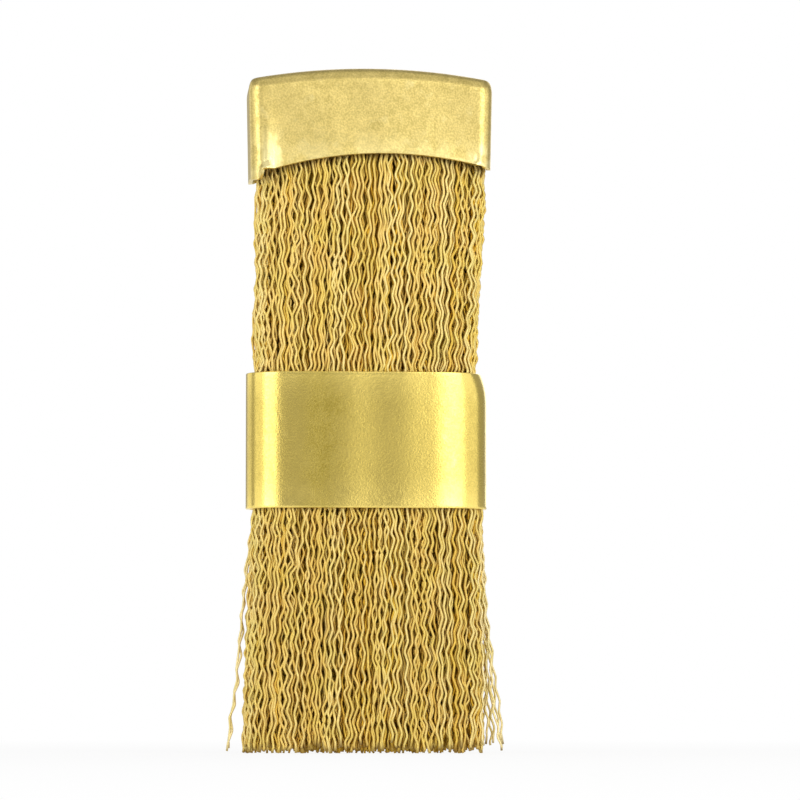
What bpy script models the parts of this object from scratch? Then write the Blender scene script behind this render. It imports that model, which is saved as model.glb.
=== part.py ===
"""Flat brass wire brush for cleaning soldering tips and small cutters.

Crimped brass wires are folded like hairpins over a rod, and a pressed brass cap
grips the fold. A flat-oval sheet sleeve slides along the wires: near the tips it
makes the brush stiff, near the cap it leaves it soft. The brush stands on its
wire tips: +Z points to the cap, +X to the right, and the front faces -Y.
"""
import math

import bmesh
import bpy
from mathutils import Vector

MM = 0.001

# Driving dimensions, in metres.
HEIGHT = 61.5 * MM                 # wire tips to the crown of the cap
SHEET = 0.35 * MM                  # brass sheet of the cap and the sleeve

CAP_WIDTH = 22.0 * MM
CAP_DEPTH = 7.2 * MM
CAP_ARCH = 1.05 * MM               # the crown stands this far above the top corners
CAP_TAPER = 0.15 * MM              # each side comes in this far at the rim
CAP_EDGE_RADIUS = 1.0 * MM
CAP_COLUMNS = 14
RIM_CROWN = 53.7 * MM              # the rim's greatest height
RIM_SHIFT = 1.3 * MM               # it is highest this far to the right of the middle
RIM_RADIUS = 35.0 * MM             # and arched like this, so its left end is lower

SLEEVE_WIDTH = 21.7 * MM
SLEEVE_DEPTH = 7.0 * MM
SLEEVE_POWER = 5                   # how square the ends of its oval section are
SLEEVE_BOTTOM = 21.85 * MM
SLEEVE_LENGTH = 12.2 * MM
SLEEVE_OFFSET = -0.22 * MM         # the sleeve sits a little to the left of the cap
SLEEVE_SEAM = 0.2 * MM             # open butt seam down the back
SLEEVE_PINCH = 0.5 * MM            # the upper right corner is bent in by this much
SLEEVE_PINCH_LENGTH = 2.6 * MM
SLEEVE_PINCH_REACH = 3.2 * MM
SLEEVE_ROWS = 8
SLEEVE_STEPS = 56                  # facets round the sleeve

ROD_RADIUS = 1.0 * MM
ROD_LENGTH = 20.2 * MM
ROD_HEIGHT = 57.4 * MM

HANK_COUNT = 14
HANKS_LEFT = -9.45 * MM            # the row of hanks starts and ends here
HANKS_RIGHT = 8.75 * MM
HANK_GAP = 0.08 * MM               # between two hanks
HANK_CHAMFER = 0.15 * MM
HANK_CLEARANCE = 0.1 * MM          # hank to sleeve, rod and cap
LEG_GAP = 0.2 * MM                 # between the front and back legs of a hank
LEG_RAGGED = 0.8 * MM              # the shortest leg ends this far above the longest
FOLD_STEPS = 12

WIRE_RADIUS = 0.1 * MM
CRIMP_PITCH = 2.1 * MM
CRIMP_HEIGHT = 0.14 * MM           # the crimp swings this far to each side
STRAY_TOP = 55.4 * MM              # stray wires start here, inside the cap
STRAY_FAN = 8                      # wires that fan out on the right
STRAY_DEPTH = 1.2 * MM             # they lie this far to the front and the back

BRASS_SHEET = (0.72, 0.56, 0.24, 1.0)
BRASS_WIRE = (0.74, 0.55, 0.20, 1.0)
STEEL = (0.46, 0.45, 0.43, 1.0)

NAME = "tip_cleaning_brush"


def clear_scene():
    for ob in list(bpy.data.objects):
        bpy.data.objects.remove(ob, do_unlink=True)


def new_collection(name):
    collection = bpy.data.collections.new(name)
    bpy.context.scene.collection.children.link(collection)
    return collection


def new_material(name, colour, roughness, metallic=1.0):
    mat = bpy.data.materials.new(name)
    mat.use_nodes = True
    mat.diffuse_color = colour
    shader = mat.node_tree.nodes["Principled BSDF"]
    shader.inputs["Base Color"].default_value = colour
    shader.inputs["Roughness"].default_value = roughness
    shader.inputs["Metallic"].default_value = metallic
    return mat


def add_object(name, data, material, collection, location=(0, 0, 0)):
    ob = bpy.data.objects.new(name, data)
    ob.location = location
    data.materials.append(material)
    collection.objects.link(ob)
    return ob


def mesh_from(bm, name, sharp_angle=35):
    bmesh.ops.recalc_face_normals(bm, faces=bm.faces)
    mesh = bpy.data.meshes.new(name)
    bm.to_mesh(mesh)
    bm.free()
    mesh.shade_smooth()
    mesh.set_sharp_from_angle(angle=math.radians(sharp_angle))
    return mesh


def smooth_step(t):
    t = min(max(t, 0.0), 1.0)
    return t * t * (3 - 2 * t)


# ---------------------------------------------------------------- cap


def cap_top(x):
    """Height of the cap's arched top at x, an arc of a circle through its corners."""
    half = CAP_WIDTH / 2
    radius = (half**2 + CAP_ARCH**2) / (2 * CAP_ARCH)
    return HEIGHT - radius + math.sqrt(radius**2 - x**2)


def cap_rim(x):
    """Height of the cap's rim at x, an arc whose crown is off the middle."""
    return RIM_CROWN - RIM_RADIUS + math.sqrt(RIM_RADIUS**2 - (x - RIM_SHIFT) ** 2)


def make_cap(material, collection):
    """A box open below, bent to the arch and the rim, with rounded edges, made a shell."""
    bm = bmesh.new()
    bmesh.ops.create_cube(bm, size=1.0)
    bottom = [f for f in bm.faces if f.normal.z < -0.5]
    bmesh.ops.delete(bm, geom=bottom, context="FACES_ONLY")
    for column in range(1, CAP_COLUMNS):
        bmesh.ops.bisect_plane(
            bm,
            geom=bm.verts[:] + bm.edges[:] + bm.faces[:],
            plane_co=(column / CAP_COLUMNS - 0.5, 0, 0),
            plane_no=(1, 0, 0),
        )
    for v in bm.verts:
        at_top = v.co.z > 0
        across = 2 * v.co.x
        x = v.co.x * CAP_WIDTH - (0 if at_top else CAP_TAPER * across)
        z = cap_top(x) if at_top else cap_rim(x)
        v.co = Vector((x, v.co.y * CAP_DEPTH, z))
    cap = add_object("cap_shell", mesh_from(bm, "cap_shell"), material, collection)
    edge = cap.modifiers.new("rounded_edges", "BEVEL")
    edge.width = CAP_EDGE_RADIUS
    edge.segments = 4
    edge.limit_method = "ANGLE"
    edge.angle_limit = math.radians(45)
    wall = cap.modifiers.new("sheet", "SOLIDIFY")
    wall.thickness = SHEET
    wall.offset = -1
    wall.use_even_offset = True
    return cap


# ---------------------------------------------------------------- sleeve


def oval_half_depth(x, half_width, half_depth):
    """Half-depth at x of a flat oval with squarish ends."""
    return half_depth * math.sqrt(max(1 - abs(x / half_width) ** SLEEVE_POWER, 0))


def oval_outline(half_width, half_depth, seam):
    """Points round a flat oval, from one lip of the seam at the back to the other."""
    points = [(seam / 2, half_depth)]
    for i in range(1, SLEEVE_STEPS):
        angle = math.pi / 2 - 2 * math.pi * i / SLEEVE_STEPS
        across = math.cos(angle)
        x = half_width * math.copysign(abs(across) ** (2 / SLEEVE_POWER), across)
        y = half_depth * math.sin(angle)
        if abs(x) > half_width / 6:
            points.append((x, y))
    points.append((-seam / 2, half_depth))
    return points


def pinch(x, z):
    """How far the sleeve's upper right corner is bent in at x and z of the sleeve."""
    across = (x - (SLEEVE_WIDTH / 2 - SLEEVE_PINCH_REACH)) / SLEEVE_PINCH_REACH
    up = (z - (SLEEVE_LENGTH - SLEEVE_PINCH_LENGTH)) / SLEEVE_PINCH_LENGTH
    return SLEEVE_PINCH * smooth_step(across) * max(up, 0) ** 2


def make_sleeve(material, collection):
    """A strip standing on the oval outline, made a sheet thick, with its seam behind."""
    bm = bmesh.new()
    outline = oval_outline(SLEEVE_WIDTH / 2, SLEEVE_DEPTH / 2, SLEEVE_SEAM)
    verts = [bm.verts.new((x, y, 0)) for x, y in outline]
    edges = [bm.edges.new(pair) for pair in zip(verts, verts[1:])]
    for _ in range(SLEEVE_ROWS):
        made = bmesh.ops.extrude_edge_only(bm, edges=edges)["geom"]
        row = [g for g in made if isinstance(g, bmesh.types.BMVert)]
        edges = [g for g in made if isinstance(g, bmesh.types.BMEdge)]
        edges = [e for e in edges if all(v in row for v in e.verts)]
        bmesh.ops.translate(bm, verts=row, vec=(0, 0, SLEEVE_LENGTH / SLEEVE_ROWS))
    for v in bm.verts:
        v.co.x -= pinch(v.co.x, v.co.z)
    bmesh.ops.recalc_face_normals(bm, faces=bm.faces)
    front = min(bm.faces, key=lambda f: f.calc_center_median().y)
    if front.normal.y > 0:
        bmesh.ops.reverse_faces(bm, faces=bm.faces)
    mesh = bpy.data.meshes.new("sliding_sleeve")
    bm.to_mesh(mesh)
    bm.free()
    mesh.shade_smooth()
    sleeve = add_object(
        "sliding_sleeve", mesh, material, collection, (SLEEVE_OFFSET, 0, SLEEVE_BOTTOM)
    )
    wall = sleeve.modifiers.new("sheet", "SOLIDIFY")
    wall.thickness = SHEET
    wall.offset = -1
    wall.use_even_offset = True
    return sleeve


# ---------------------------------------------------------------- rod and wire


def make_rod(material, collection):
    bm = bmesh.new()
    bmesh.ops.create_cone(
        bm,
        cap_ends=True,
        segments=24,
        radius1=ROD_RADIUS,
        radius2=ROD_RADIUS,
        depth=ROD_LENGTH,
    )
    rod = add_object(
        "core_rod", mesh_from(bm, "core_rod"), material, collection, (0, 0, ROD_HEIGHT)
    )
    rod.rotation_euler = (0, math.pi / 2, 0)
    return rod


def hank_half_depth(x):
    """Half the front-to-back depth that the sleeve leaves free at x, with clearance."""
    past = abs(x - SLEEVE_OFFSET) + SLEEVE_PINCH
    inner_width = SLEEVE_WIDTH / 2 - SHEET
    inner_depth = SLEEVE_DEPTH / 2 - SHEET
    return oval_half_depth(past, inner_width, inner_depth) - HANK_CLEARANCE


def hank_outline(half_depth, fold_top, front_tip, back_tip):
    """A hairpin seen from the side: two legs joined by a fold that hugs the rod."""
    rise = fold_top - ROD_HEIGHT
    points = [(-half_depth, front_tip)]
    for i in range(FOLD_STEPS + 1):
        angle = math.pi - math.pi * i / FOLD_STEPS
        points.append(
            (half_depth * math.cos(angle), ROD_HEIGHT + rise * math.sin(angle))
        )
    points += [(half_depth, back_tip), (LEG_GAP / 2, back_tip)]
    hug = ROD_RADIUS + HANK_CLEARANCE
    points.append((LEG_GAP / 2, ROD_HEIGHT - 2.5 * hug))
    for i in range(FOLD_STEPS + 1):
        angle = math.radians(-50) + math.radians(280) * i / FOLD_STEPS
        points.append((hug * math.cos(angle), ROD_HEIGHT + hug * math.sin(angle)))
    points += [(-LEG_GAP / 2, ROD_HEIGHT - 2.5 * hug), (-LEG_GAP / 2, front_tip)]
    return points


def make_hank(number, material, collection):
    """One hank of wire, a slice of the bundle that stands for its share of the wires."""
    pitch = (HANKS_RIGHT - HANKS_LEFT) / HANK_COUNT
    middle = HANKS_LEFT + pitch * (number + 0.5)
    outer = abs(middle - SLEEVE_OFFSET) + pitch / 2
    half_depth = hank_half_depth(SLEEVE_OFFSET + outer)
    fold_top = cap_top(outer) - SHEET - HANK_CLEARANCE
    fold_top = min(fold_top, ROD_HEIGHT + half_depth)
    front_tip = LEG_RAGGED * (number % 4) / 3
    back_tip = LEG_RAGGED * ((number + 2) % 4) / 3

    curve = bpy.data.curves.new("wire_hank", "CURVE")
    curve.dimensions = "2D"
    curve.fill_mode = "BOTH"
    outline = hank_outline(half_depth, fold_top, front_tip, back_tip)
    spline = curve.splines.new("POLY")
    spline.points.add(len(outline) - 1)
    for point, (y, z) in zip(spline.points, outline):
        point.co = (y, z, 0, 1)
    spline.use_cyclic_u = True
    curve.extrude = (pitch - HANK_GAP) / 2 - HANK_CHAMFER
    curve.bevel_depth = HANK_CHAMFER
    curve.bevel_resolution = 0
    curve.offset = -HANK_CHAMFER
    name = f"wire_hank_{number + 1:02d}"
    hank = add_object(name, curve, material, collection, (middle, 0, 0))
    hank.rotation_euler = (math.pi / 2, 0, math.pi / 2)
    return hank


def along(route, z):
    """x and y of a route at height z; the route runs down and eases between points."""
    for upper, lower in zip(route, route[1:]):
        if z >= lower[2]:
            share = smooth_step((upper[2] - z) / (upper[2] - lower[2]))
            return [upper[i] + (lower[i] - upper[i]) * share for i in (0, 1)]
    return route[-1][:2]


def make_stray(name, route_mm, phase, material, collection):
    """One crimped wire at the edge of the bundle, through the sleeve to its loose tip."""
    route = [Vector(p) * MM for p in route_mm]
    curve = bpy.data.curves.new(name, "CURVE")
    curve.dimensions = "3D"
    curve.bevel_depth = WIRE_RADIUS
    curve.bevel_resolution = 1
    curve.use_fill_caps = True
    bends = int((route[0].z - route[-1].z) / (CRIMP_PITCH / 2))
    spline = curve.splines.new("POLY")
    spline.points.add(bends)
    for i, point in enumerate(spline.points):
        z = route[0].z - (route[0].z - route[-1].z) * i / bends
        x, y = along(route, z)
        side = CRIMP_HEIGHT if (i + phase) % 2 else -CRIMP_HEIGHT
        point.co = (x + side, y, z, 1)
    return add_object(name, curve, material, collection)


def edge_route(side, y, in_cap, above_sleeve, below_sleeve, loosening, tip):
    """A stray's points, top to bottom; each argument after y is (distance out, height)."""
    stops = [in_cap, above_sleeve, below_sleeve, loosening, tip]
    return [(side * out, y, height) for out, height in stops]


def make_strays(material, collection):
    """Two wires side by side on the left, and a row of them that fans out on the right."""
    top = STRAY_TOP / MM
    pair = {
        "a": edge_route(-1, -0.25, (9.9, top), (9.9, 35), (10.1, 21.5), (10.85, 14), (12.3, 0.5)),
        "b": edge_route(-1, 0.25, (9.9, top), (9.95, 35), (10.1, 21.5), (10.65, 14), (12.1, 0.1)),
    }
    for phase, (letter, route) in enumerate(pair.items()):
        make_stray(f"stray_wire_left_{letter}", route, phase, material, collection)
    for i in range(STRAY_FAN):
        share = (i + 1) / STRAY_FAN
        lane = (5 * i % STRAY_FAN) / (STRAY_FAN - 1)
        y = (2 * lane - 1) * STRAY_DEPTH / MM
        tip = (10.1 + 2.2 * share, 0.2 + 0.8 * lane)
        loosening = (9.75 + 0.65 * share, 14)
        route = edge_route(1, y, (9.5, top), (9.08, 35), (9.5, 21.5), loosening, tip)
        make_stray(f"stray_wire_right_{'abcdefgh'[i]}", route, i, material, collection)


def main():
    clear_scene()
    parts = new_collection(NAME)
    cap_brass = new_material("cap_brass", BRASS_SHEET, 0.38)
    sleeve_brass = new_material("sleeve_brass", BRASS_SHEET, 0.34)
    wire_brass = new_material("wire_brass", BRASS_WIRE, 0.42)
    rod_steel = new_material("rod_steel", STEEL, 0.45)
    make_cap(cap_brass, parts)
    make_rod(rod_steel, parts)
    for number in range(HANK_COUNT):
        make_hank(number, wire_brass, parts)
    make_strays(wire_brass, parts)
    make_sleeve(sleeve_brass, parts)


main()
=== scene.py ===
"""Looks of the tip cleaning brush: crimped brass wires, a pressed brass cap and a sliding sleeve.

Every crimped wire is a hairpin of its own, folded over the rod inside the cap. The wires
are grouped in the hanks that the frame knows, so that each hank's piece replaces its plain
solid. All lengths are in metres, in the frame's own axes: +Z to the cap, front to -Y.
"""
import math

import bmesh
import bpy
import numpy as np
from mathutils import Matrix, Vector, noise


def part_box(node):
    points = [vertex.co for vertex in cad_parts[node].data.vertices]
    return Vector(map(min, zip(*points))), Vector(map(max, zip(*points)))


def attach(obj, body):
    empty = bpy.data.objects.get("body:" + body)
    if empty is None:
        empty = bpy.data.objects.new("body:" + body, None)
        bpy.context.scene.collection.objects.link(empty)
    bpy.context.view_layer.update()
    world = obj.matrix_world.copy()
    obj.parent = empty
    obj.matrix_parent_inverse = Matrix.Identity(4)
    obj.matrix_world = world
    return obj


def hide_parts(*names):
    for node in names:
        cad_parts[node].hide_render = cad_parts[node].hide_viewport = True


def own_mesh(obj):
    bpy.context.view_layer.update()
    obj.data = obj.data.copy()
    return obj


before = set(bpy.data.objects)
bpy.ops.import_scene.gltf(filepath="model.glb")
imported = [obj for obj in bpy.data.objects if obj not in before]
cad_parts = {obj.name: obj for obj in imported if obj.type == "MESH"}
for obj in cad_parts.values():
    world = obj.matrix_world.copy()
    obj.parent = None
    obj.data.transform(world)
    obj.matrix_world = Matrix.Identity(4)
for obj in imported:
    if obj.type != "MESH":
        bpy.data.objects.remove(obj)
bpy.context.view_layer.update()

MM = 0.001

# The frame's own sizes.
CAP_LOW, CAP_HIGH = (Vector(c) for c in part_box("cap_shell"))
SLEEVE_LOW, SLEEVE_HIGH = (Vector(c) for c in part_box("sliding_sleeve"))
ROD_LOW, ROD_HIGH = (Vector(c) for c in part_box("core_rod"))
HANKS = sorted(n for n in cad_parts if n.startswith("wire_hank_"))
HANK_BOXES = [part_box(n) for n in HANKS]

SHEET = 0.35 * MM                  # thickness of the sheet brass
CAP_WIDTH = CAP_HIGH.x - CAP_LOW.x
CAP_DEPTH = CAP_HIGH.y - CAP_LOW.y
CAP_ARCH = 1.05 * MM               # the crown's height over the corners
CAP_TAPER = 0.15 * MM              # each end comes in by this much at the rim
CAP_EDGE = 1.2 * MM                # radius of its rounded edges
CAP_END_SQUARE = 0.65              # how square the top's edges are at the cap's two ends
RIM_CROWN = 53.7 * MM              # height of the rim's highest spot, and its x
RIM_SHIFT = 1.3 * MM
RIM_RADIUS = 35.0 * MM
CORNER_RIM = 51.25 * MM            # the rim's height round the lower left corner

SLEEVE_MID = (SLEEVE_LOW.x + SLEEVE_HIGH.x) / 2
SLEEVE_WIDTH = SLEEVE_HIGH.x - SLEEVE_LOW.x
SLEEVE_DEPTH = SLEEVE_HIGH.y - SLEEVE_LOW.y
SLEEVE_LENGTH = SLEEVE_HIGH.z - SLEEVE_LOW.z
SLEEVE_ROWS = 36                   # of faces from its lower to its upper end
SLEEVE_SEAM = 0.2 * MM             # gap of the seam at the back
SLEEVE_PINCH = 0.5 * MM            # how far its upper right corner is bent in, and over what length
SLEEVE_PINCH_LENGTH = 2.6 * MM
OVAL_POWER = 5.0                   # how square the ends of the sleeve's section are

ROD_RADIUS = (ROD_HIGH.z - ROD_LOW.z) / 2
ROD_HEIGHT = (ROD_HIGH.z + ROD_LOW.z) / 2

WIRE_RADIUS = 0.126 * MM
CRIMP_HALF_PITCH = 1.05 * MM       # from one bend of the crimp to the next
CRIMP_HEIGHT = 0.15 * MM           # how far a bend stands out of the wire's line
COLUMN_PITCH = 0.44 * MM           # from wire to wire across the brush
LAYER_PITCH = 0.23 * MM            # from layer to layer through it
FINE_LAYERS = 2                    # outer layers, whose bends are rounded
FINE_COLUMNS = 2                   # and the same at each end
LEG_TOP = RIM_CROWN + 1.0 * MM     # the legs run up to here, inside the cap
CUT_TILT = 0.14 * MM               # how far the cutter bent a tip, roughly
FOLD_STEPS = 9                     # points round the fold over the rod

# The bundle's section: an oval that fits the sleeve.
OVAL_HALF_WIDTH = 10.2 * MM
OUTER_COLUMN = 9.75 * MM           # from the middle of the brush to its outermost wires
MEAN_HALF_WIDTH = 9.7 * MM
OVAL_HALF_DEPTH = 2.84 * MM
LOOSE_DEPTH = 0.12 * MM            # how far a wire may leave its layer
END_DEPTH = 2.0 * MM               # the layers keep their distance down to this half-depth
HANK_HEIGHT = 28 * MM              # a wire belongs to the hank that it is nearest to here

# Left and right edges of the bundle at a few heights, tips first: the wires spread freely
# below the sleeve and are drawn together inside it.
EDGE_HEIGHT = [0.0, 12 * MM, 21.8 * MM, 34 * MM, 43 * MM, 50 * MM, 62 * MM]
EDGE_LEFT = [-11.1 * MM, -10.8 * MM, -10.3 * MM, -10.15 * MM, -10.1 * MM, -9.95 * MM, -9.95 * MM]
EDGE_RIGHT = [10.0 * MM, 9.95 * MM, 9.88 * MM, 9.3 * MM, 9.8 * MM, 10.2 * MM, 10.2 * MM]

# Stray wires: a twisted pair on the left and a loose fan on the right. The outermost ones
# leave the bundle's edge by this much at each height.
STRAY_HEIGHT = [0.0, 3.5 * MM, 7.8 * MM, 12.1 * MM, 14.3 * MM, 17.5 * MM, 22.2 * MM]
STRAY_LEFT = [1.42 * MM, 1.15 * MM, 0.85 * MM, 0.52 * MM, 0.45 * MM, 0.25 * MM, 0.05 * MM]
STRAY_RIGHT = [2.2 * MM, 1.85 * MM, 1.2 * MM, 0.75 * MM, 0.5 * MM, 0.3 * MM, 0.0]

STRAY_RADIUS = 0.1 * MM
STRAY_CRIMP = 0.11 * MM
TWIST_LENGTH = 4.3 * MM            # one turn of the left pair round each other
TWIST_SIDE = 0.12 * MM
TWIST_DEPTH = 0.11 * MM

FLOOR_RADIUS = 2.0
BACKDROP_GLOW = 1.0
SKY = 0.42                         # strength of the even light from all round
FLOOR_GLOW_SHARE = 0.88            # how much of the floor's white under the brush is its own glow
LIGHT_HEIGHT = 0.9                 # of the tall softboxes

rng = np.random.default_rng(17)


# ---------------------------------------------------------------- nodes and materials


class Nodes:
    """Short names for building a material's node tree."""

    def __init__(self, material):
        material.use_nodes = True
        self.tree = material.node_tree
        self.shader = self.tree.nodes["Principled BSDF"]

    def add(self, kind, **values):
        node = self.tree.nodes.new(kind)
        for key, value in values.items():
            if key in node.inputs:
                node.inputs[key].default_value = value
            else:
                setattr(node, key.lower(), value)
        return node

    def link(self, source, target):
        self.tree.links.new(source, target)

    def noise(self, size, detail=2.0, stretch=(1, 1, 1)):
        """Noise whose grains are about size across, longer where stretch is below 1."""
        place = self.add("ShaderNodeTexCoord")
        scale = self.add("ShaderNodeMapping")
        scale.inputs["Scale"].default_value = stretch
        self.link(place.outputs["Object"], scale.inputs["Vector"])
        grain = self.add("ShaderNodeTexNoise", Scale=1 / size, Detail=detail)
        self.link(scale.outputs["Vector"], grain.inputs["Vector"])
        return grain.outputs["Fac"]

    def coordinates(self):
        """The spot's own x, y and z."""
        place = self.add("ShaderNodeTexCoord")
        split = self.add("ShaderNodeSeparateXYZ")
        self.link(place.outputs["Object"], split.inputs[0])
        return split.outputs["X"], split.outputs["Y"], split.outputs["Z"]

    def ramp(self, source, low, high, to_low, to_high):
        node = self.add("ShaderNodeMapRange")
        node.inputs["From Min"].default_value = low
        node.inputs["From Max"].default_value = high
        node.inputs["To Min"].default_value = to_low
        node.inputs["To Max"].default_value = to_high
        self.link(source, node.inputs["Value"])
        return node.outputs["Result"]

    def math(self, operation, a, b):
        node = self.add("ShaderNodeMath")
        node.operation = operation
        for socket, value in zip(node.inputs, (a, b)):
            if isinstance(value, (int, float)):
                socket.default_value = value
            else:
                self.link(value, socket)
        return node.outputs[0]

    def mix(self, share, a, b):
        node = self.add("ShaderNodeMix")
        node.data_type = "RGBA"
        for socket, value in ((node.inputs[0], share), (node.inputs[6], a), (node.inputs[7], b)):
            if isinstance(value, (int, float, tuple)):
                socket.default_value = value
            else:
                self.link(value, socket)
        return node.outputs[2]

    def bump(self, height, strength, distance):
        node = self.add("ShaderNodeBump")
        node.inputs["Strength"].default_value = strength
        node.inputs["Distance"].default_value = distance
        self.link(height, node.inputs["Height"])
        self.link(node.outputs["Normal"], self.shader.inputs["Normal"])


def sheet_brass(name, light, dark, polished_and_highlight, roughness, grain, worn_and_sheen):
    """Satin sheet brass: clouds, mottling and a fine grain in colour, gloss and surface.
    worn_and_sheen(nodes) gives how far each spot takes the bright polished colour, partly real
    wear and partly a painted highlight."""
    material = bpy.data.materials.new(name)
    n = Nodes(material)
    n.shader.inputs["Metallic"].default_value = 1.0
    clouds = n.noise(5.0 * MM, 3.0)
    mottle = n.noise(0.8 * MM, 4.0)
    speckle = n.noise(0.17 * MM, 2.0)
    tone = n.math("ADD", n.ramp(clouds, 0.35, 0.65, 0.0, 0.15), n.ramp(mottle, 0.35, 0.65, 0.0, 0.35))
    tone = n.math("ADD", tone, n.ramp(speckle, 0.38, 0.62, 0.0, 0.50))
    colour = n.mix(tone, dark, light)
    gloss = n.ramp(tone, 0.0, 1.0, roughness + 0.07, roughness - 0.05)
    wear_and_sheen = worn_and_sheen(n)
    # Bright polished colour: wear in part, painted highlight in part.
    colour = n.mix(wear_and_sheen, colour, polished_and_highlight)
    gloss = n.math("SUBTRACT", gloss, n.math("MULTIPLY", wear_and_sheen, 0.08))
    n.link(colour, n.shader.inputs["Base Color"])
    n.link(gloss, n.shader.inputs["Roughness"])
    height = n.math("ADD", n.ramp(mottle, 0, 1, 0.0, 0.4), n.ramp(speckle, 0, 1, 0.0, 0.6))
    n.bump(height, grain, 0.04 * MM)
    return material


def cap_wear_and_sheen(n):
    """Polished patches on the cap, mostly along its rim and towards its corners: partly real wear,
    partly painted highlight, most of all the bright patch low on its left end and the band along its
    rim.
    """
    x, _, z = n.coordinates()
    low = n.ramp(z, RIM_CROWN + 2.6 * MM, RIM_CROWN - 0.5 * MM, 0.0, 1.0)
    astray = n.math("ADD", x, n.ramp(n.noise(1.9 * MM, 3.0), 0.3, 0.7, -0.9 * MM, 0.9 * MM))
    left = n.ramp(astray, -7.9 * MM, -8.7 * MM, 0.0, 0.6)
    left = n.math("MULTIPLY", left, n.ramp(x, -9.9 * MM, -9.6 * MM, 0.0, 1.0))
    right = n.ramp(x, 7.5 * MM, 10.5 * MM, 0.0, 0.5)
    patches = n.ramp(n.noise(1.5 * MM, 3.0), 0.40, 0.60, 0.0, 1.0)
    where = n.math("ADD", left, n.math("MULTIPLY", n.math("ADD", right, 0.35), patches))
    wear_and_sheen = n.math("MULTIPLY", low, where)
    scuffs = n.ramp(n.noise(1.1 * MM, 5.0), 0.60, 0.74, 0.0, 0.35)
    return n.math("MINIMUM", n.math("ADD", wear_and_sheen, scuffs), 1.0)


def sleeve_wear_and_sheen(n):
    """The sleeve is brighter towards its two ends, where it rubs and partly as painted sheen, and is
    painted brighter away from a strip left of its middle, which stays dullest as painted shade."""
    x, _, z = n.coordinates()
    bottom = n.ramp(z, SLEEVE_LOW.z + 3.0 * MM, SLEEVE_LOW.z, 0.0, 0.55)
    top = n.ramp(z, SLEEVE_HIGH.z - 3.0 * MM, SLEEVE_HIGH.z, 0.0, 0.45)
    patchy = n.ramp(n.noise(1.2 * MM, 4.0), 0.3, 0.6, 0.5, 1.0)
    rubbed_and_sheen = n.math("MULTIPLY", n.math("ADD", bottom, top), patchy)
    scuffs = n.ramp(n.noise(0.7 * MM, 5.0, (1, 1, 0.4)), 0.62, 0.76, 0.0, 0.4)
    astray = n.math("ADD", x, n.ramp(n.noise(2.5 * MM, 2.0), 0.3, 0.7, -0.6 * MM, 0.6 * MM))
    from_strip = n.math("ABSOLUTE", n.math("ADD", astray, 4.3 * MM), 0.0)
    sheen_off_strip = n.ramp(from_strip, 0.7 * MM, 2.6 * MM, 0.0, 0.42)
    return n.math("MINIMUM", n.math("ADD", n.math("ADD", rubbed_and_sheen, scuffs), sheen_off_strip), 1.0)


def wire_brass(name, dark, light):
    """Drawn brass wire. The mesh gives each wire a tone of its own, from dark to light and
    painted darker deep in the bundle as shade, and says where it is brown: at its cut end, and
    under the cap as painted shadow of the rim. Patches are yellower or stained, and the wire
    below the sleeve is a little duller."""
    material = bpy.data.materials.new(name)
    n = Nodes(material)
    n.shader.inputs["Metallic"].default_value = 1.0
    tone = n.add("ShaderNodeAttribute")
    tone.attribute_name = "tone"
    cut_end_and_rim_shade = n.add("ShaderNodeAttribute")
    cut_end_and_rim_shade.attribute_name = "cut_end_and_rim_shade"
    clean = n.mix(tone.outputs["Fac"], dark, light)
    tint = n.ramp(n.noise(2.4 * MM, 3.0), 0.42, 0.62, 0.0, 0.32)
    clean = n.mix(tint, clean, (0.70, 0.58, 0.10, 1))
    _, _, z = n.coordinates()
    dull = n.ramp(z, SLEEVE_LOW.z + 3 * MM, SLEEVE_LOW.z - 4 * MM, 0.0, 0.12)
    clean = n.mix(dull, clean, (0.46, 0.29, 0.04, 1))
    stain = n.ramp(n.noise(1.3 * MM, 3.0), 0.45, 0.75, 0.0, 0.25)
    stained = n.mix(stain, clean, (0.54, 0.35, 0.05, 1))
    # Brown at each cut end, and painted shadow under the cap's rim.
    colour = n.mix(cut_end_and_rim_shade.outputs["Fac"], stained, (0.24, 0.13, 0.03, 1))
    n.link(colour, n.shader.inputs["Base Color"])
    n.link(n.ramp(n.noise(0.3 * MM, 2.0), 0.3, 0.7, 0.48, 0.62), n.shader.inputs["Roughness"])
    return material


def rod_steel(name):
    """Plain steel with the fine lines of drawing along it."""
    material = bpy.data.materials.new(name)
    n = Nodes(material)
    n.shader.inputs["Metallic"].default_value = 1.0
    lines = n.noise(0.08 * MM, 2.0, (0.05, 1, 1))
    n.link(n.mix(lines, (0.32, 0.31, 0.30, 1), (0.56, 0.55, 0.53, 1)), n.shader.inputs["Base Color"])
    n.link(n.ramp(lines, 0.2, 0.8, 0.38, 0.55), n.shader.inputs["Roughness"])
    return material


# ---------------------------------------------------------------- meshes


def add_piece(name, mesh, material, body):
    """An object of this mesh and material that rides the body."""
    ob = bpy.data.objects.new(name, mesh)
    bpy.context.scene.collection.objects.link(ob)
    mesh.materials.append(material)
    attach(ob, body)
    return ob


def smooth_step(t):
    t = min(max(t, 0.0), 1.0)
    return t * t * (3 - 2 * t)


def cap_rim(x):
    """Height of the cap's rim, an arc, at x."""
    return RIM_CROWN - RIM_RADIUS + np.sqrt(RIM_RADIUS**2 - (x - RIM_SHIFT) ** 2)


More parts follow.
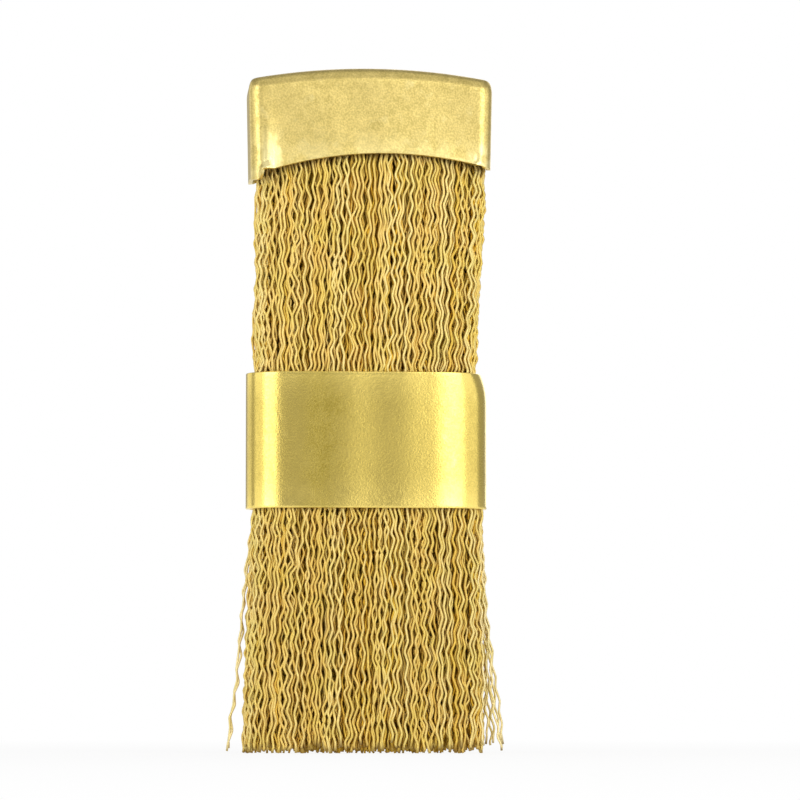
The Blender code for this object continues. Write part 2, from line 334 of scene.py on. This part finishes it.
class Tubes:
    """Collects wires, and makes one mesh of closed tubes from them."""

    def __init__(self):
        self.points, self.tone, self.cut_end_and_rim_shade = [], [], []
        self.corners, self.sizes = [], []
        self.count = 0

    def add(self, path, radius, sides, tone, cut_end_and_rim_shade):
        """path is n points from one end to the other; cut_end_and_rim_shade is n numbers along it,
        brown at the cut end and painted shadow under the cap, and tone, which holds painted depth shade,
        n numbers or a single one."""
        n = len(path)
        along = np.gradient(path, axis=0)
        along /= np.linalg.norm(along, axis=1, keepdims=True)
        across = np.array([1.0, 0, 0]) - along[:, :1] * along
        across /= np.linalg.norm(across, axis=1, keepdims=True)
        third = np.cross(along, across)
        turn = np.arange(sides) * 2 * np.pi / sides
        ring = np.cos(turn)[None, :, None] * across[:, None]
        ring = ring + np.sin(turn)[None, :, None] * third[:, None]
        verts = path[:, None] + ring * radius
        first = self.count
        side = np.arange(sides)
        low = first + np.arange(n - 1)[:, None] * sides
        quads = np.stack(
            [low + side, low + (side + 1) % sides, low + (side + 1) % sides + sides, low + side + sides],
            axis=-1,
        )
        self.points.append(verts.reshape(-1, 3))
        self.tone.append(np.repeat(np.broadcast_to(tone, n), sides))
        self.cut_end_and_rim_shade.append(np.repeat(cut_end_and_rim_shade, sides))
        self.corners += [quads.ravel(), first + side[::-1], first + (n - 1) * sides + side]
        self.sizes += [np.full((n - 1) * sides, 4), [sides], [sides]]
        self.count += n * sides

    def mesh(self, name):
        """All the wires so far as one mesh, with their tone and their cut-end brown and painted rim
        shadow as attributes.
        """
        mesh = bpy.data.meshes.new(name)
        corners = np.concatenate(self.corners).astype(np.int32)
        sizes = np.concatenate(self.sizes).astype(np.int32)
        mesh.vertices.add(self.count)
        mesh.vertices.foreach_set("co", np.concatenate(self.points).astype(np.float32).ravel())
        mesh.loops.add(len(corners))
        mesh.loops.foreach_set("vertex_index", corners)
        mesh.polygons.add(len(sizes))
        starts = np.concatenate([[0], np.cumsum(sizes)[:-1]]).astype(np.int32)
        mesh.polygons.foreach_set("loop_start", starts)
        mesh.update(calc_edges=True)
        mesh.shade_smooth()
        for kind, values in (("tone", self.tone), ("cut_end_and_rim_shade", self.cut_end_and_rim_shade)):
            attribute = mesh.attributes.new(kind, "FLOAT", "POINT")
            attribute.data.foreach_set("value", np.concatenate(values).astype(np.float32))
        return mesh


# ---------------------------------------------------------------- the wires


def bundle_x(u, z):
    """x of a wire at the share u of the brush's width, -1 left to 1 right, at height z."""
    left = np.interp(z, EDGE_HEIGHT, EDGE_LEFT)
    right = np.interp(z, EDGE_HEIGHT, EDGE_RIGHT)
    return (left + right) / 2 + u * (right - left) / 2


def oval_half_depth(u):
    """Half the bundle's depth at the share u of its width."""
    x = bundle_x(u, (SLEEVE_LOW.z + SLEEVE_HIGH.z) / 2) - SLEEVE_MID
    return OVAL_HALF_DEPTH * math.sqrt(max(1 - abs(x / OVAL_HALF_WIDTH) ** OVAL_POWER, 0.02))


def slow_waves(size, length):
    """A sum of three slow waves, for the way that a wire strays from its line."""
    waves = []
    for share in (1.0, 0.6, 0.4):
        own_length = length * (0.6 + 0.9 * rng.random())
        waves.append((size * share, own_length, rng.random()))
    return lambda z: sum(s * np.sin(2 * np.pi * (z / w + p)) for s, w, p in waves)


def new_group():
    """What the wires of one group share: they were crimped and packed together."""
    steps = CRIMP_HALF_PITCH * (1 + 0.10 * rng.standard_normal(90))
    return {
        "bends": -2 * MM - rng.random() * CRIMP_HALF_PITCH + np.cumsum(np.abs(steps)),
        "sign": 1 if rng.random() < 0.5 else -1,
        "height": CRIMP_HEIGHT * (1 + 0.2 * rng.standard_normal()),
        "turn": math.radians(14) * rng.standard_normal(),
        "aside": slow_waves(0.09 * MM, 9 * MM),
        "deeper": slow_waves(0.05 * MM, 14 * MM),
        "tone": 0.12 * rng.standard_normal(),
    }


def wire_groups(columns):
    """A group for each wire of a layer, and how far the wire is packed towards its middle."""
    pull = 0.16 * COLUMN_PITCH
    groups, shifts = [], []
    while len(groups) < columns:
        size = int(rng.choice([1, 1, 2, 2, 3, 4]))
        groups += [new_group()] * size
        shifts += [((size - 1) / 2 - i) * pull for i in range(size)]
    return groups, shifts


def crimped_leg(centre, depth, group, fine, z_tip, z_top):
    """A crimped wire from its tip up to z_top. centre and depth give its line's x and y at a
    height, group is what it shares with its neighbours, and fine rounds its bends."""
    bends = group["bends"] + 0.09 * MM * rng.standard_normal()
    bends = bends + 0.06 * MM * rng.standard_normal(len(bends))
    height = group["height"] * (1 + 0.2 * rng.standard_normal(len(bends)))
    height = np.clip(height, 0.04 * MM, 0.24 * MM)
    side = group["sign"] * np.where(np.arange(len(bends)) % 2, 1.0, -1.0) * height
    if fine:
        near = 0.16 * CRIMP_HALF_PITCH
        z = np.stack([bends - near, bends, bends + near], axis=1).ravel()
        swing = np.stack([0.76 * side, 0.95 * side, 0.76 * side], axis=1).ravel()
    else:
        z, swing = bends, side
    keep = (z > z_tip + 0.14 * MM) & (z < z_top)
    z = np.concatenate([[z_tip], z[keep]])
    swing = np.concatenate([[0.4 * swing[keep][0]], swing[keep]])
    turn = group["turn"] + math.radians(16) * rng.standard_normal()
    loose = np.clip((z_top - z) / (5 * MM), 0, 1)
    own = slow_waves(0.06 * MM, 7 * MM)
    x = centre(z) + swing * math.cos(turn) + (group["aside"](z) + own(z)) * loose
    out_of_layer = swing * math.sin(turn) + group["deeper"](z) * loose
    y = depth(z) + np.clip(out_of_layer, -LOOSE_DEPTH, LOOSE_DEPTH)
    path = np.stack([x, y, z], axis=1)

    # The cut end is bent a little, as the cutter left it, but never out of the bundle.
    bent = np.clip(1 - (z - z_tip) / (0.8 * MM), 0, 1) ** 2
    way = rng.random() * 2 * math.pi
    reach = CUT_TILT * abs(rng.standard_normal())
    path[:, 0] += reach * bent * math.cos(way)
    path[:, 1] -= np.sign(path[:, 1]) * 0.6 * reach * bent * abs(math.sin(way))
    return path


def tip_height(u, depth):
    """Ragged tips: the wires end in clumps, some a little shorter than others."""
    clump = noise.noise(Vector((u * 9.0, depth * 900, 4.2)))
    return max((0.40 + 0.65 * clump) * MM + 0.13 * MM * rng.standard_normal(), 0.02 * MM)


def tip_and_rim_shade_along(path):
    """How brown a leg is along its path: most at its cut end, some where it enters the cap,
    which is painted shadow under the rim, and none between them."""
    at_tip = (0.3 + 0.7 * rng.random()) * (1 - (path[:, 2] - path[0, 2]) / (0.28 * MM))
    # Painted shadow: the wires are browned just below the cap's rim, which shades them.
    rim_shadow = 0.6 * np.clip(1 + (path[:, 2] - cap_rim(path[:, 0])) / (0.4 * MM), 0, 1)
    return np.clip(np.maximum(at_tip, rim_shadow), 0, 1)


def add_hairpin(tubes, u, inwards, groups, shifts, fine, sides):
    """A whole wire: up the front, over the rod and down the back. groups and shifts are those
    of its front and its back leg, and inwards is 0 on the bundle's surface and 1 at its heart."""
    legs = []
    for group, shift, side in zip(groups, shifts, (-1, 1)):
        def centre(z):
            return bundle_x(u, z) + shift

        def depth(z):
            return side * oval_half_depth(u) * (1 - inwards)

        z_tip = tip_height(u, side * (1 - inwards) * OVAL_HALF_DEPTH)
        legs.append(crimped_leg(centre, depth, group, fine, z_tip, LEG_TOP))
    front, back = legs
    radius = ROD_RADIUS + 0.15 * MM + 1.3 * MM * (1 - inwards)
    x = float(bundle_x(u, ROD_HEIGHT))
    fold = []
    for angle in np.linspace(math.pi, 0, FOLD_STEPS):
        fold.append((x, radius * math.cos(angle), ROD_HEIGHT + radius * math.sin(angle)))
    path = np.concatenate([front, fold, back[::-1]])
    cut_end_and_rim_shade = np.concatenate([tip_and_rim_shade_along(front), np.zeros(len(fold)), tip_and_rim_shade_along(back)[::-1]])

    # Wires deeper in the bundle are painted darker, as shade, but not at its two ends.
    depth_shade = inwards * min((1 - abs(u)) * 6, 1)
    tone = 0.75 - 2.1 * depth_shade + groups[0]["tone"] + 0.16 * rng.standard_normal()
    tubes.add(path, WIRE_RADIUS, sides, np.clip(tone, 0, 1), cut_end_and_rim_shade)


def gather(ob, low, high):
    """Gives a hank's piece a mesh of its own. low and high are the hank's two sides; either way it does
    the same."""
    if low + high < 0:
        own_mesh(ob)
    else:
        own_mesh(ob)


def make_wires(material):
    """All the hanks, layer by layer from the outside in."""
    columns = int(2 * OUTER_COLUMN / COLUMN_PITCH)
    shares = np.linspace(-1, 1, columns)
    hank_x = [(low[0] + high[0]) / 2 for low, high in HANK_BOXES]
    tubes = [Tubes() for _ in HANKS]
    layers = int(OVAL_HALF_DEPTH / LAYER_PITCH)
    for layer in range(layers):
        groups, shifts = zip(wire_groups(columns), wire_groups(columns))
        for column, u in enumerate(shares):
            between = 0.5 if layer % 2 else 0
            u += (between + 0.12 * rng.standard_normal()) * COLUMN_PITCH / MEAN_HALF_WIDTH
            u = min(max(u, -1), 1)
            inwards = (layer + 0.25 * rng.standard_normal()) * LAYER_PITCH
            inwards /= max(oval_half_depth(u), END_DEPTH)
            if inwards > 0.97:
                continue
            end = min(column, columns - 1 - column)
            fine = layer < FINE_LAYERS or end < FINE_COLUMNS
            sides = 6 if fine else 4 if layer < FINE_LAYERS + 2 else 3
            hank = int(np.argmin([abs(bundle_x(u, HANK_HEIGHT) - x) for x in hank_x]))
            own_groups = [groups[0][column], groups[1][column]]
            own_shifts = [shifts[0][column], shifts[1][column]]
            add_hairpin(tubes[hank], u, max(inwards, 0), own_groups, own_shifts, fine, sides)
    for node, box, tube in zip(HANKS, HANK_BOXES, tubes):
        ob = add_piece(f"{node}_wires", tube.mesh(f"{node}_wires"), material, "root")
        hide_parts(node)
        gather(ob, box[0][0], box[1][0])


def make_strays(material):
    """The loose wires at the two sides, one piece each."""
    left = sorted(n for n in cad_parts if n.startswith("stray_wire_left"))
    right = sorted(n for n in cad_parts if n.startswith("stray_wire_right"))
    sides = ((left, -1, EDGE_LEFT, STRAY_LEFT), (right, 1, EDGE_RIGHT, STRAY_RIGHT))
    for nodes, side, edge, out in sides:
        pair = new_group()
        for i, node in enumerate(nodes):
            share = 1.0 if side < 0 else (i + 1) / len(nodes)
            group = pair if side < 0 else new_group()
            group["height"] = STRAY_CRIMP
            group["turn"] *= 0.5
            twist = i * math.pi

            def centre(z):
                away = np.interp(z, STRAY_HEIGHT, out) * share
                apart = TWIST_SIDE * np.cos(2 * np.pi * z / TWIST_LENGTH + twist) if side < 0 else 0
                return np.interp(z, EDGE_HEIGHT, edge) + side * away + apart

            def depth(z):
                if side < 0:
                    return 0.3 * MM + TWIST_DEPTH * np.sin(2 * np.pi * z / TWIST_LENGTH + twist)
                return np.full_like(z, (-1.3 + 2.2 * ((i * 5) % 8) / 8) * MM)

            z_tip = (0.1 + 0.9 * rng.random()) * MM
            path = crimped_leg(centre, depth, group, True, z_tip, LEG_TOP)
            tubes = Tubes()
            # Painted light: a stray is paler where it hangs loose below 16 mm, and it fades to the
            # darker tone at 24 mm, where it runs into the bundle.
            loose_light = np.clip((24 * MM - path[:, 2]) / (8 * MM), 0, 1)
            tubes.add(path, STRAY_RADIUS, 8, loose_light, tip_and_rim_shade_along(path))
            name = f"{node}_crimped"
            ob = add_piece(name, tubes.mesh(name), material, "root")
            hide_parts(node)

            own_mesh(ob)


# ---------------------------------------------------------------- cap and sleeve


def cap_top(x):
    """Height of the cap's arched top at x."""
    half = CAP_WIDTH / 2
    radius = (half**2 + CAP_ARCH**2) / (2 * CAP_ARCH)
    return CAP_HIGH.z - radius + math.sqrt(radius**2 - x**2)


def rounded_box(xs, ys, zs, half_width, half_depth, radius):
    """A box open below, its vertical and top edges rounded. z runs from 0 at the rim to 1
    where the top's rounding starts, and from there to 2 across the rounding."""
    bm = bmesh.new()
    made = {}

    def vert(x, y, z):
        key = (round(x, 7), round(y, 7), round(z, 7))
        if key not in made:
            inner_x = min(max(x, radius - half_width), half_width - radius)
            inner_y = min(max(y, radius - half_depth), half_depth - radius)
            off = Vector((x - inner_x, y - inner_y, max(z - 1, 0) * radius))
            off *= radius / off.length

            # Towards the ends, the edge of the top is drawn out and so less round.
            flat = math.hypot(off.x, off.y) / radius
            if flat > 0:
                towards_end = (off.x / (flat * radius)) ** 2
                off.x *= flat ** (-CAP_END_SQUARE * towards_end)
                off.y *= flat ** (-CAP_END_SQUARE * towards_end)
            made[key] = bm.verts.new((inner_x + off.x, inner_y + off.y, min(z, 1) * MM + off.z))
        return made[key]

    def sheet(rows, columns, place):
        for a, b in zip(rows, rows[1:]):
            for c, d in zip(columns, columns[1:]):
                corners = ((a, c), (a, d), (b, d), (b, c))
                bm.faces.new([vert(*place(row, column)) for row, column in corners])

    sheet(zs, xs, lambda z, x: (x, -half_depth, z))
    sheet(zs, xs[::-1], lambda z, x: (x, half_depth, z))
    sheet(zs, ys, lambda z, y: (half_width, y, z))
    sheet(zs, ys[::-1], lambda z, y: (-half_width, y, z))
    sheet(ys, xs, lambda y, x: (x, y, 2.0))
    return bm


def spaced(*stops):
    """Numbers from stop to stop; each stop is (value, number of steps up to it)."""
    values = [stops[0][0]]
    for value, steps in stops[1:]:
        values += list(np.linspace(values[-1], value, steps + 1)[1:])
    return values


def cap_relief(x, z, rim):
    """How far the front of the cap stands out at x, z: dents, a crease beside its left end, a
    bulge below it, a crumpled lower right corner and a rim that is turned out."""
    left = -CAP_WIDTH / 2
    wave = noise.noise(Vector((x / (4.2 * MM), z / (3.1 * MM), 1.7)))
    out = 0.05 * MM * wave
    crease = math.exp(-(((x - left - 1.3 * MM) / (0.16 * MM)) ** 2))
    out -= 0.05 * MM * crease * smooth_step((58.5 * MM - z) / (4.5 * MM))
    bulge = ((x - left - 1.5 * MM) / (0.9 * MM)) ** 2 + ((z - 54.2 * MM) / (2.2 * MM)) ** 2
    out += 0.11 * MM * math.exp(-bulge)
    dent = ((x - 1.0 * MM) / (1.5 * MM)) ** 2 + ((z - 54.6 * MM) / (0.9 * MM)) ** 2
    out += 0.05 * MM * math.exp(-dent)
    crumple = smooth_step((x + left + 1.9 * MM) / (0.5 * MM))
    crumple *= smooth_step((rim + 1.3 * MM - z) / (0.9 * MM))
    out += 0.13 * MM * crumple * noise.noise(Vector((x / (0.4 * MM), z / (0.35 * MM), 3.3)))
    return out + 0.12 * MM * math.exp(-(z - rim) / (0.7 * MM))


def make_cap(material):
    """The pressed cap: a box open below, then arched, tapered, dented and curled."""
    half_width, half_depth = CAP_WIDTH / 2, CAP_DEPTH / 2
    xs = spaced(
        (-half_width, 0), (-half_width + CAP_EDGE, 9), (-half_width + 3 * MM, 18),
        (half_width - 2.4 * MM, 40), (half_width - CAP_EDGE, 10), (half_width, 9),
    )
    ys = spaced(
        (-half_depth, 0), (-half_depth + CAP_EDGE, 6), (half_depth - CAP_EDGE, 12), (half_depth, 6),
    )
    zs = spaced((0, 0), (0.15, 5), (1, 16), (2, 6))
    bm = rounded_box(xs, ys, zs, half_width, half_depth, CAP_EDGE)
    for v in bm.verts:
        wall = min(v.co.z / MM, 1)
        over = max(v.co.z - MM, 0)
        x = v.co.x * (1 - CAP_TAPER / half_width * (1 - wall))
        rim = cap_rim(x)
        z = rim + (cap_top(x) - CAP_EDGE - rim) * wall + over
        y = v.co.y
        front = smooth_step((-y - half_depth + CAP_EDGE) / CAP_EDGE) * (1 - over / CAP_EDGE)
        y -= cap_relief(x, z, rim) * front
        back = smooth_step((y - half_depth + CAP_EDGE) / CAP_EDGE) * (1 - over / CAP_EDGE)
        y += 0.04 * MM * noise.noise(Vector((x / (4.2 * MM), z / (3.1 * MM), 8.3))) * back

        # The wall reaches further down round the left corner, and the front's own corner
        # curls out beside it. The right wall rises a little towards the back.
        inwards = x + half_width
        near_rim = smooth_step((rim + 1.0 * MM - z) / (1.0 * MM))
        in_front = smooth_step((-y - 1.5 * MM) / (1.5 * MM))
        curl = near_rim * in_front * smooth_step((2.4 * MM - inwards) / (1.0 * MM))
        curl *= smooth_step((inwards - 0.9 * MM) / (0.25 * MM))
        y -= 0.30 * MM * curl
        z += 0.25 * MM * curl
        beside = near_rim * in_front * smooth_step((1.1 * MM - inwards) / (0.2 * MM))
        z += (CORNER_RIM - rim) * beside
        right_back = near_rim * smooth_step((x - half_width + 1.4 * MM) / MM)
        z += 0.6 * MM * right_back * smooth_step((y + 2.4 * MM) / (2.5 * MM))
        v.co = Vector((x, y, z))
    mesh = bpy.data.meshes.new("cap_shell_pressed")
    bm.to_mesh(mesh)
    bm.free()
    mesh.shade_smooth()
    cap = add_piece("cap_shell_pressed", mesh, material, "root")
    add_sheet(cap, 0.08 * MM)
    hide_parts("cap_shell")


def add_sheet(ob, lip_radius):
    """Gives a surface the thickness of the sheet, inwards, with rounded raw edges."""
    wall = ob.modifiers.new("sheet", "SOLIDIFY")
    wall.thickness = SHEET
    wall.offset = -1
    wall.use_even_offset = True
    lip = ob.modifiers.new("rim", "BEVEL")
    lip.width = lip_radius
    lip.segments = 3
    lip.limit_method = "ANGLE"
    lip.angle_limit = math.radians(60)
    lip.harden_normals = False


def oval_outline(half_width, half_depth, seam, spacing):
    """Evenly spaced points round the sleeve's section, from one side of its back seam
    to the other."""
    turn = np.linspace(math.pi / 2, -1.5 * math.pi, 8001)
    x = half_width * np.sign(np.cos(turn)) * np.abs(np.cos(turn)) ** (2 / OVAL_POWER)
    y = half_depth * np.sin(turn)
    x[0] = x[-1] = 0
    length = np.concatenate([[0], np.cumsum(np.hypot(np.diff(x), np.diff(y)))])
    at = np.linspace(seam / 2, length[-1] - seam / 2, int(length[-1] / spacing))
    return list(zip(np.interp(at, length, x), np.interp(at, length, y)))


def pinch(x, z):
    """The upper right corner of the sleeve is bent inwards by this much."""
    across = (x - (SLEEVE_WIDTH / 2 - 3.2 * MM)) / (3.2 * MM)
    up = (z - (SLEEVE_LENGTH - SLEEVE_PINCH_LENGTH)) / SLEEVE_PINCH_LENGTH
    return SLEEVE_PINCH * smooth_step(across) * max(up, 0) ** 2


def make_sleeve(material):
    """The rolled sleeve: a strip round the oval, with shallow waves and flared ends."""
    bm = bmesh.new()
    outline = oval_outline(SLEEVE_WIDTH / 2, SLEEVE_DEPTH / 2 - 0.02 * MM, SLEEVE_SEAM, 0.26 * MM)
    grid = []
    for z in np.linspace(0, SLEEVE_LENGTH, SLEEVE_ROWS + 1):
        grid.append([bm.verts.new((x, y, z)) for x, y in outline])
    for low, high in zip(grid, grid[1:]):
        for i in range(len(outline) - 1):
            bm.faces.new([low[i], high[i], high[i + 1], low[i + 1]])
    for v in bm.verts:
        x, z = v.co.x, v.co.z
        v.co.x -= pinch(x, z)
        wave = -0.018 * math.sin(2 * math.pi * (x + 0.6 * MM) / (5.0 * MM))
        dent = 0.02 * noise.noise(Vector((x / (5 * MM), z / (4 * MM), 9.4)))
        flare = 0.08 * math.exp(-min(z, SLEEVE_LENGTH - z) / (1.3 * MM))
        flat = 1 - smooth_step((abs(x) - 4 * MM) / (3 * MM))
        v.co.y += math.copysign(1, v.co.y) * ((wave + dent) * flat + flare) * MM
    bmesh.ops.translate(bm, verts=bm.verts, vec=(SLEEVE_MID, 0, SLEEVE_LOW.z))
    mesh = bpy.data.meshes.new("sliding_sleeve_rolled")
    bm.to_mesh(mesh)
    bm.free()
    mesh.shade_smooth()
    sleeve = add_piece("sliding_sleeve_rolled", mesh, material, "sleeve")
    add_sheet(sleeve, 0.07 * MM)
    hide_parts("sliding_sleeve")


# ---------------------------------------------------------------- studio


def studio_object(name, bm, material):
    """An object of the studio, made from bm."""
    mesh = bpy.data.meshes.new(name)
    bm.to_mesh(mesh)
    bm.free()
    mesh.materials.append(material)
    ob = bpy.data.objects.new(name, mesh)
    bpy.context.scene.collection.objects.link(ob)
    return ob


def make_studio():
    """A white floor that runs into a white backdrop, and an even sky for the reflections."""
    bm = bmesh.new()
    bmesh.ops.create_circle(bm, cap_ends=True, segments=96, radius=FLOOR_RADIUS)
    material = bpy.data.materials.new("floor_pale")
    n = Nodes(material)
    n.shader.inputs["Base Color"].default_value = (0.88, 0.88, 0.88, 1)
    n.shader.inputs["Roughness"].default_value = 0.9
    glow = n.add("ShaderNodeEmission", Strength=BACKDROP_GLOW)
    place = n.add("ShaderNodeTexCoord")
    far = n.add("ShaderNodeVectorMath")
    far.operation = "LENGTH"
    n.link(place.outputs["Object"], far.inputs[0])
    share = n.ramp(far.outputs["Value"], 0.03, 0.25, FLOOR_GLOW_SHARE, 1.0)
    blend = n.add("ShaderNodeMixShader")
    n.link(share, blend.inputs[0])
    n.link(n.shader.outputs[0], blend.inputs[1])
    n.link(glow.outputs[0], blend.inputs[2])
    n.link(blend.outputs[0], n.tree.nodes["Material Output"].inputs["Surface"])
    studio_object("floor", bm, material)

    bm = bmesh.new()
    bmesh.ops.create_uvsphere(bm, u_segments=96, v_segments=48, radius=FLOOR_RADIUS)
    below = [v for v in bm.verts if v.co.z < -1e-6]
    bmesh.ops.delete(bm, geom=below, context="VERTS")
    material = bpy.data.materials.new("backdrop_white")
    n = Nodes(material)
    glow = n.add("ShaderNodeEmission", Strength=BACKDROP_GLOW)
    n.link(glow.outputs[0], n.tree.nodes["Material Output"].inputs["Surface"])
    backdrop = studio_object("backdrop", bm, material)
    backdrop.data.shade_smooth()
    backdrop.visible_diffuse = False
    backdrop.visible_glossy = False
    backdrop.visible_shadow = False

    world = bpy.data.worlds.new("studio")
    bpy.context.scene.world = world
    world.use_nodes = True
    sky = world.node_tree.nodes["Background"]
    sky.inputs["Color"].default_value = (1, 1, 1, 1)
    sky.inputs["Strength"].default_value = SKY


def add_light(name, azimuth, elevation, distance, size, radiance):
    """A softbox in that direction from the brush, azimuth 0 in front and 90 to its right."""
    middle = Vector((0, 0, 0.03))
    a, e = math.radians(azimuth), math.radians(elevation)
    way = Vector((math.sin(a) * math.cos(e), -math.cos(a) * math.cos(e), math.sin(e)))
    data = bpy.data.lights.new(name, "AREA")
    data.shape = "RECTANGLE"
    data.size, data.size_y = size
    data.energy = radiance * math.pi * size[0] * size[1]
    light = bpy.data.objects.new(name, data)
    light.location = middle + way * distance
    light.rotation_mode = "QUATERNION"
    light.rotation_quaternion = (-way).to_track_quat("-Z", "Y")
    light.visible_camera = False
    bpy.context.scene.collection.objects.link(light)


def make_lights():
    """Tall softboxes round the front: their edges draw the bright bands on the sheet."""
    height = LIGHT_HEIGHT
    add_light("softbox_left_front", -45, 4, 0.8, (0.38, height), 2.4)
    add_light("softbox_left_side", -72, 4, 0.8, (0.66, height), 0.8)
    add_light("softbox_left_back", -128, 4, 0.8, (0.5, height), 0.6)
    add_light("softbox_right_inner", 11, 4, 0.8, (0.15, height), 0.5)
    add_light("softbox_right_front", 24, 4, 0.8, (0.21, height), 2.85)
    add_light("softbox_right_side", 39, 4, 0.8, (0.25, height), 2.4)
    add_light("softbox_right_far", 70, 4, 0.8, (0.58, height), 0.8)
    add_light("softbox_front_top", 0, 21, 0.8, (0.55, 0.16), 1.15)
    add_light("softbox_top", 0, 70, 0.8, (0.9, 0.7), 0.42)
    add_light("softbox_back", 160, 20, 0.9, (0.6, 0.6), 1.3)


def make_camera():
    """In front of the brush, low, level with the wire tips and a little to the left."""
    distance = 380 * MM
    view_width = 71.5 * MM        # what the picture spans at the front of the cap
    azimuth = math.radians(-4.0)
    aim = Vector((2.58 * MM, CAP_LOW.y, 31.49 * MM))
    place = aim + Vector((math.sin(azimuth), -math.cos(azimuth), 0)) * distance
    place.z = 3.0 * MM
    data = bpy.data.cameras.new("camera")
    data.sensor_width = 36.0
    data.lens = data.sensor_width * (aim - place).length / view_width
    data.clip_start, data.clip_end = 0.01, 50
    camera = bpy.data.objects.new("camera", data)
    camera.location = place
    camera.rotation_mode = "QUATERNION"
    camera.rotation_quaternion = (aim - place).to_track_quat("-Z", "Y")
    bpy.context.scene.collection.objects.link(camera)
    bpy.context.scene.camera = camera


def main():
    bpy.context.scene.view_settings.view_transform = "Standard"
    make_camera()
    make_studio()
    make_lights()
    make_wires(wire_brass("wire_brass_drawn", (0.71, 0.425, 0.03, 1), (0.85, 0.69, 0.28, 1)))
    # The strays' brass is a paler copy of the wires', painted light for wires that hang in the open.
    make_strays(wire_brass("stray_brass_paler_lit", (0.85, 0.64, 0.19, 1), (0.93, 0.81, 0.45, 1)))
    light, dark, polished_and_highlight = (0.845, 0.668, 0.236, 1), (0.495, 0.384, 0.113, 1), (0.96, 0.83, 0.39, 1)
    make_cap(sheet_brass("cap_brass_satin", light, dark, polished_and_highlight, 0.36, 0.5, cap_wear_and_sheen))
    # The sleeve's brass is painted darker than the cap's, shade for the darker surroundings that it
    # faces.
    light, dark, polished_and_highlight = (0.71, 0.547, 0.124, 1), (0.37, 0.277, 0.044, 1), (0.94, 0.73, 0.20, 1)
    make_sleeve(sheet_brass("sleeve_brass_satin", light, dark, polished_and_highlight, 0.26, 0.45, sleeve_wear_and_sheen))
    rod = bpy.data.objects["core_rod"]
    steel = rod_steel("rod_steel_drawn")
    for material_slot in rod.material_slots:
        material_slot.material = steel


main()
